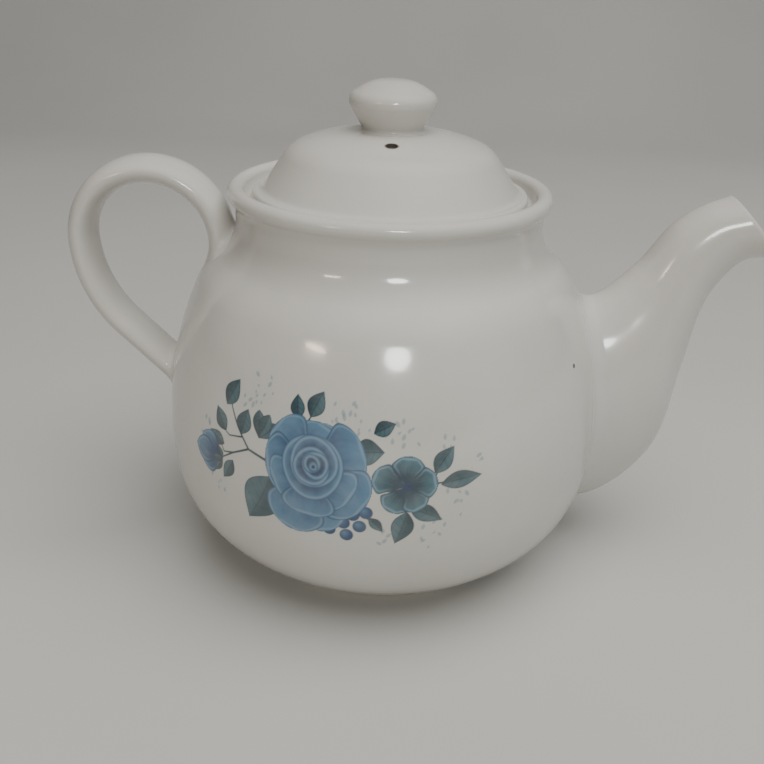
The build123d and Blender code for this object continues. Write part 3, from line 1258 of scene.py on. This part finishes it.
@dataclass
class Spray:
    """A printed spray: a full rose, a second flower, a bud, leaves, berries and pale sprigs."""

    pot: PotBody
    inks: Inks = field(default_factory=Inks)
    turn: float = -16.0
    foot_z: float = 52.0
    foot_t: float = 14.0
    lift: float = 0.03
    depth: float = 0.1
    belly_span: Point = (8.0, 112.0)
    second_at: Point = (28.4, 22.8)
    berry_r: float = 2.0

    def rose(self, canvas: Canvas) -> None:
        """Paints the rose: eight open petals, three standing ones, and a rolled heart.

        Args:
            canvas: The patch that is painted on.
        """
        inks = self.inks
        tones = inks.petal_light, inks.petal_deep, inks.petal_rim
        opened = [
            (100, 13, 18, 0.2),
            (62, 13, 17, -0.3),
            (145, 17, 17, 0.4),
            (282, 22, 16, -0.4),
            (250, 24, 19, 0.3),
            (188, 17, 19, -0.5),
            (20, 18, 19, 0.5),
            (325, 21, 19, -0.3),
        ]
        for turn, length, width, fold in opened:
            base = (0.6 - 1.5 * math.cos(math.radians(turn)), 27.5)
            Blade(base, turn, length, width, 2.1, 0.62, 0.0, 0.035).petal(canvas, *tones, fold)
        standing = (205, 14, 15, 0.6), (330, 14, 15, -0.6), (265, 15, 17, 0.2)
        for turn, length, width, fold in standing:
            Blade((0.8, 25.5), turn, length, width, 2.2, 0.6, -0.1).petal(canvas, *tones, fold)
        self.heart(canvas, (0.6, 26.6))

    def heart(self, canvas: Canvas, centre: Point) -> None:
        """Paints the rolled heart as discs, each pushed to one side of the last.

        What still shows of each disc is a crescent, deep where the next one rises from it and with
        a pale rim along its open edge.

        Args:
            canvas: The patch that is painted on.
            centre: The outermost disc's middle.
        """
        inks = self.inks
        sizes = (9.6, 7.6, 5.8, 4.2, 2.8, 1.6)
        pushes = (75, 245, 20, 160, 300)
        x, y = centre
        for number, size in enumerate(sizes):
            ds, dt = canvas.s - x, (canvas.t - y) * 0.94
            gap = np.hypot(ds, dt)
            around = np.arctan2(dt, ds)
            edge = size * (1 + 0.025 * np.sin(3 * around + 2 * number))
            glow = np.clip((gap / edge - 0.52) / 0.40, 0, 1)
            colour = mixed(inks.heart, inks.petal_light, glow**1.3 + 0.05 * np.sin(11 * around))
            pale = np.clip(1 - np.abs(edge - 0.8 - gap) / 0.5, 0, 1)
            colour = colour + 0.7 * pale[..., None] * (np.array(inks.petal_rim) - colour)
            line = np.clip(1 - np.abs(edge - gap) / 0.4, 0, 1)[..., None]
            colour = colour + 0.85 * line * (np.array(inks.heart) - colour)
            canvas.lay(np.clip((edge - gap) / canvas.cell + 0.5, 0, 1), colour)
            if number < len(pushes):
                push = 0.85 * (size - sizes[number + 1])
                turn = math.radians(pushes[number])
                x, y = x + push * math.cos(turn), y + push * math.sin(turn)

    def second_flower(self, canvas: Canvas) -> None:
        """Paints the smaller teal flower with five petals and a dark middle.

        Args:
            canvas: The patch that is painted on.
        """
        inks = self.inks
        tones = inks.teal_light, inks.teal_deep, inks.petal_rim
        for turn, length, width, fold in (
            (85, 9.5, 9.5, 0.3),
            (160, 10.5, 9.5, -0.4),
            (238, 9.5, 9, 0.4),
            (300, 9, 8.5, -0.3),
            (10, 9.5, 9.5, 0.4),
        ):
            petal = Blade(self.second_at, turn, length, width, 1.8, 0.62, 0, 0.05)
            petal.petal(canvas, *tones, fold)
        s, t = self.second_at
        gap = np.hypot(canvas.s - s, canvas.t - t)
        canvas.lay(np.clip((1.7 - gap) / 0.8, 0, 1), np.array(inks.heart) * 0.8)
        for turn in range(0, 360, 40):
            reach = 3.4 if turn % 80 else 2.7
            angle = math.radians(turn)
            end = s + reach * math.cos(angle), t + reach * math.sin(angle)
            canvas.stroke([self.second_at, end], 0.42, inks.heart, 0.8)

    def greenery(self, canvas: Canvas) -> None:
        """Paints the stems, then the leaves, the half-open buds and the berries.

        Args:
            canvas: The patch that is painted on.
        """
        inks = self.inks
        for run, width in (
            ([(-13, 25), (-21, 27), (-27, 24), (-33, 20)], 0.9),
            ([(-21, 27), (-26, 33), (-29, 38), (-30, 41)], 0.7),
            ([(-24, 30), (-29, 29), (-33, 31)], 0.6),
            ([(-27, 24), (-31, 23), (-33, 26)], 0.6),
            ([(-3, 38), (-4, 41), (-5, 43)], 0.6),
            ([(-3, 38), (-1, 41), (0, 43)], 0.6),
            ([(34, 22), (38, 23.5), (42, 24)], 0.8),
            ([(35, 22.5), (37, 26), (38.5, 28.5)], 0.7),
            ([(29, 17), (30, 15), (32, 13.5)], 0.7),
            ([(29, 17), (28.5, 14), (28, 12)], 0.7),
            ([(16, 15), (13, 12), (9, 10)], 0.5),
            ([(15, 14), (17.5, 12), (19, 11)], 0.5),
        ):
            canvas.stroke(run, width, inks.leaf_deep)
        for base, turn, length, width in (
            ((-31.5, 38.0), 66, 9.8, 6.4),
            ((-30.6, 29.8), 128, 8.4, 5.2),
            ((-24.2, 30.8), 78, 8.6, 6.0),
            ((-31.0, 25.4), 160, 7.6, 4.6),
            ((-27.0, 21.4), 240, 8.4, 4.6),
            ((-12.5, 20.5), 243, 18.5, 13.0),
            ((-4.6, 40.2), 98, 7.4, 4.8),
            ((-0.8, 41.4), 66, 8.8, 5.8),
            ((12.6, 32.6), 4, 9.4, 8.0),
            ((18.6, 38.6), 26, 7.2, 4.8),
            ((36.8, 26.6), 54, 9.8, 5.8),
            ((38.6, 23.0), 7, 13.0, 5.6),
            ((29.6, 16.0), 334, 11.0, 5.8),
            ((29.0, 14.6), 253, 11.5, 6.8),
            ((17.8, 12.4), 312, 6.4, 3.4),
        ):
            Blade(base, turn, length, width, 0.85, 1.05, 0.10).leaf(canvas, inks)
        tones = inks.petal_light, inks.petal_deep, inks.petal_rim
        for turn, length, width in ((205, 10, 8), (150, 11, 9), (178, 13, 9)):
            Blade((-32.5, 20.0), turn, length, width, 1.4, 0.75).petal(canvas, *tones, 0.4)
        for turn, length in ((120, 5), (235, 6), (185, 5)):
            Blade((-31.5, 20.0), turn, length, 2.6, 0.9, 1.1).leaf(canvas, inks, 2)
        for turn in (95, 40, 68):
            Blade((-17.5, 31.5), turn, 8.6, 4.6, 1.3, 0.8).leaf(canvas, inks, 7)
        berries = (6.2, 7.4), (10.4, 10.0), (11.4, 5.9), (15.2, 9.2), (17.0, 14.0), (13.2, 13.0)
        for centre in berries:
            gap = np.hypot(canvas.s - centre[0], canvas.t - centre[1])
            glint = np.hypot(canvas.s - centre[0] + 0.6, canvas.t - centre[1] - 0.6)
            colour = mixed(inks.petal_deep, inks.petal_light, 0.85 - 0.45 * glint)
            line = np.clip(1 - np.abs(self.berry_r - gap) / 0.4, 0, 1)[..., None]
            colour = colour + 0.8 * line * (np.array(inks.heart) - colour)
            canvas.lay(np.clip((self.berry_r + 0.05 - gap) / canvas.cell + 0.5, 0, 1), colour)

    def sprigs(self, canvas: Canvas) -> None:
        """Paints the pale filler sprigs round the flowers, each a scatter of small buds.

        Args:
            canvas: The patch that is painted on.
        """
        chance = np.random.default_rng(5)
        for centre, spread, count in (
            ((-17.5, 45.0), 4.5, 9),
            ((-22.5, 42.0), 3.0, 5),
            ((9.5, 44.0), 4.2, 10),
            ((14.5, 38.5), 2.5, 4),
            ((27.0, 38.5), 4.5, 9),
            ((42.0, 33.5), 3.5, 5),
            ((45.0, 15.0), 4.0, 8),
            ((38.0, 10.5), 3.0, 4),
            ((34.0, 6.0), 3.2, 5),
            ((22.0, 5.0), 2.5, 4),
            ((-33.0, 9.5), 3.6, 6),
            ((-38.5, 29.0), 2.8, 4),
            ((-41.5, 26.5), 2.2, 3),
            ((49.0, 29.0), 2.0, 3),
        ):
            for _ in range(count):
                place = np.array(centre) + spread * chance.normal(0, 0.62, 2)
                turn = chance.uniform(30, 150)
                size = chance.uniform(1.1, 2.2)
                u, _, depth = Blade(tuple(place), turn, size, 0.55 * size, 0.9, 0.8).shape(canvas)
                canvas.lay(0.62 * np.clip(depth / canvas.cell + 0.5, 0, 1), self.inks.pale)

    def painted(self) -> Canvas:
        """Paints the whole spray, from the back to the front.

        Returns:
            The painted patch.
        """
        canvas = Canvas()
        self.sprigs(canvas)
        self.greenery(canvas)
        self.second_flower(canvas)
        self.rose(canvas)
        return canvas

    def on_belly(self, canvas: Canvas, lift: float, turn: float) -> np.ndarray:
        """Carries the canvas onto the belly.

        Up the canvas is length along the belly's outline, and across it is length round the widest
        place, so a point lies at azimuth turn + s / belly radius and at the height whose length
        along the outline is t.

        Args:
            canvas: The painted patch.
            lift: How far off the outer face the points lie.
            turn: The patch's turn from the front, in degrees.

        Returns:
            One point for each cell.
        """
        height = np.linspace(*self.belly_span, 1200)
        radius, slope = self.pot.radius(height)
        gone = np.concatenate([[0], np.cumsum(np.hypot(np.diff(radius), np.diff(height)))])
        start = np.interp(self.foot_z, height, gone) - self.foot_t
        z = np.interp(canvas.t + start, gone, height)
        angle = math.radians(turn) + canvas.s / self.pot.belly_r
        across, rise = np.interp(z, height, radius), np.interp(z, height, slope)
        length = np.sqrt(1 + rise**2)
        across, z = across + lift / length, z - lift * rise / length
        return np.stack([across * np.sin(angle), -across * np.cos(angle), z], -1)

    def build(self, name: str, node: str, turn: float, finish: bpy.types.Material) -> None:
        """Makes one printed patch as a thin closed skin, kept only where there is ink.

        Args:
            name: The piece's name.
            node: The CAD node that it stands for.
            turn: Its turn from the pot's front, in degrees.
            finish: The inked glaze.
        """
        canvas = self.painted()
        inked = canvas.cover > 0.01
        grown = np.zeros_like(inked)
        for down in range(-2, 3):
            for over in range(-2, 3):
                grown |= np.roll(inked, (down, over), (0, 1))
        cells = grown[:-1, :-1] | grown[1:, :-1] | grown[:-1, 1:] | grown[1:, 1:]
        top = self.on_belly(canvas, self.lift, turn).reshape(-1, 3)
        under = self.on_belly(canvas, -self.depth, turn).reshape(-1, 3)
        index = np.arange(canvas.s.size).reshape(canvas.s.shape)
        corners = index[:-1, :-1], index[:-1, 1:], index[1:, 1:], index[1:, :-1]
        quads = np.stack(corners, -1)[cells]
        sides = np.concatenate([quads[:, [k, (k + 1) % 4]] for k in range(4)])
        key = np.sort(sides, 1) @ np.array([index.size, 1])
        _, first, count = np.unique(key, return_index=True, return_counts=True)
        start, end = sides[first[count == 1]].T
        walls = np.stack([end, start, start + index.size, end + index.size], -1)
        faces = np.vstack([quads, quads[:, ::-1] + index.size, walls])
        used, packed = np.unique(faces, return_inverse=True)
        points = np.vstack([top, under])[used]
        patch = solid(name, points, [packed.reshape(-1, 4)])
        patch.data.set_sharp_from_angle(angle=math.radians(40))
        ink = np.concatenate([canvas.ink, canvas.cover[..., None]], -1).reshape(-1, 4)
        ink = np.vstack([ink, ink])[used]
        layer = patch.data.color_attributes.new("ink", "FLOAT_COLOR", "POINT")
        layer.data.foreach_set("color", ink.ravel())
        place_piece(patch, Body.POT, Slot.PRINT, finish, node)


# ---------------------------------------------------------------- studio


@dataclass(frozen=True)
class Lamp:
    """A soft oval lamp that faces the pot.

    It hangs off in a direction, away in metres, with a width and height, a power in watts and a
    colour. The glaze shows its reflection if it is mirrored.
    """

    name: str
    toward: Place
    away: float
    size: Point
    power: float
    tint: Colour
    mirrored: bool = True
    aim_z: float = 0.075

    def hang(self) -> None:
        """Adds the lamp to the scene."""
        light = bpy.data.lights.new(self.name, "AREA")
        light.shape, light.size, light.size_y = "ELLIPSE", *self.size
        light.energy, light.color = self.power, self.tint
        lamp = bpy.data.objects.new(self.name, light)
        lamp.visible_glossy = self.mirrored
        back = np.array(self.toward, float)
        back /= np.linalg.norm(back)
        side = np.cross([0, 0, 1], back)
        side /= np.linalg.norm(side)
        place = np.eye(4)
        place[:3, :3] = np.stack([side, np.cross(back, side), back], -1)
        place[:3, 3] = np.array([0, 0, self.aim_z]) + self.away * back
        lamp.matrix_world = Matrix(place.tolist())
        bpy.context.scene.collection.objects.link(lamp)


@dataclass
class Studio:
    """A pale sweep of floor and wall, soft lights, and the camera."""

    lamps: tuple[Lamp, ...] = (
        Lamp("key_window", (0.11, -0.91, 0.42), 0.95, (0.21, 0.15), 2.2, (0.97, 1.0, 0.99)),
        Lamp("overhead_soft", (0.22, -0.22, 1.0), 1.4, (1.7, 1.5), 26.0, (1.0, 0.985, 0.96), False),
        Lamp("warm_side", (-0.57, -0.72, 0.39), 1.0, (0.20, 0.035), 0.7, (1.0, 0.78, 0.6)),
    )
    air_tint: Colour = (0.93, 0.97, 1.0)
    air_strength: float = 0.02
    floor_near: float = -1500.0
    floor_run: float = 2300.0
    floor_bend: float = 500.0
    wall_rise: float = 1200.0
    half_width: float = 2500.0
    eye: Place = (0.0, -0.2944, 0.1963)
    pitch: float = 25.0
    roll: float = 1.87
    yaw: float = -0.13
    lens: float = 42.4

    def floor(self) -> None:
        """Makes the floor, which curves up into a wall behind the pot."""
        pen = Pen((self.floor_near, 0.0), 0)
        pen.line(self.floor_run)
        pen.arc(self.floor_bend, 90, 5)
        pen.line(self.wall_rise)
        run = pen.points()
        wide = np.array([-self.half_width, self.half_width])
        points = np.stack([wide + 0 * run[:, :1], run[:, :1] + 0 * wide, run[:, 1:] + 0 * wide], -1)
        rows = len(run)
        index = np.arange(rows * 2).reshape(rows, 2)
        quads = np.stack([index[:-1, 0], index[:-1, 1], index[1:, 1], index[1:, 0]], -1)
        mesh = bpy.data.meshes.new("studio_floor")
        mesh.from_pydata((points.reshape(-1, 3) * MM).tolist(), [], quads.tolist())
        mesh.polygons.foreach_set("use_smooth", np.ones(len(quads), bool))
        sweep = bpy.data.objects.new("studio_floor", mesh)
        bpy.context.scene.collection.objects.link(sweep)
        mesh.materials.append(Backcloth().build())

    def lights(self) -> None:
        """Hangs the lamps and sets the even light around them."""
        for lamp in self.lamps:
            lamp.hang()
        world = bpy.data.worlds.new("studio_air")
        world.use_nodes = True
        air = world.node_tree.nodes["Background"]
        air.inputs["Color"].default_value = (*self.air_tint, 1.0)
        air.inputs["Strength"].default_value = self.air_strength
        bpy.context.scene.world = world

    def camera(self) -> None:
        """Aims the camera: turned by yaw, tipped down by pitch and tilted by roll."""
        pitch, roll, yaw = (math.radians(angle) for angle in (self.pitch, self.roll, self.yaw))
        flat = math.cos(pitch)
        ahead = np.array([math.sin(yaw) * flat, math.cos(yaw) * flat, -math.sin(pitch)])
        level = np.array([math.cos(yaw), -math.sin(yaw), 0.0])
        over = np.cross(level, ahead)
        right = math.cos(roll) * level + math.sin(roll) * over
        up = math.cos(roll) * over - math.sin(roll) * level
        place = np.eye(4)
        place[:3, :3], place[:3, 3] = np.stack([right, up, -ahead], -1), self.eye
        data = bpy.data.cameras.new("view")
        data.lens, data.sensor_width = self.lens, 36.0
        camera = bpy.data.objects.new("view", data)
        camera.matrix_world = Matrix(place.tolist())
        bpy.context.scene.collection.objects.link(camera)
        bpy.context.scene.camera = camera

    def build(self) -> None:
        """Sets the whole stage."""
        self.floor()
        self.lights()
        self.camera()


def main() -> None:
    """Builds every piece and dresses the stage."""
    logging.basicConfig(level=logging.INFO, format="%(message)s")
    pot = PotBody()
    lid = Lid()
    speck = Spot(pot.speck(), 0.00075, (0.035, 0.028, 0.022))
    body_glaze = Glaze("white_glaze_pot", spot=speck).build()
    trim_glaze = Glaze("white_glaze_fittings").build()
    # Painted shade and tea stain in the vent hole: the lid's glaze turns dark brown-grey round the
    # vent's mouth.
    vent_shade_and_stain = Spot(lid.vent_mouth(), 0.0022, (0.06, 0.05, 0.042))
    lid_glaze = Glaze("white_glaze_lid", spot=vent_shade_and_stain).build()
    printed = Glaze("blue_print_under_glaze", inked=True).build()
    pot.build(body_glaze)
    FootRing().build(BareClay("bare_clay_foot").build())
    Spout(pot).build(trim_glaze)
    Handle(pot).build(trim_glaze)
    lid.build(lid_glaze)
    spray = Spray(pot)
    spray.build("spray_front", "front_decal", spray.turn, printed)
    spray.build("spray_back", "back_decal", spray.turn + 180, printed)
    Studio().build()


if __name__ == "__main__":
    main()
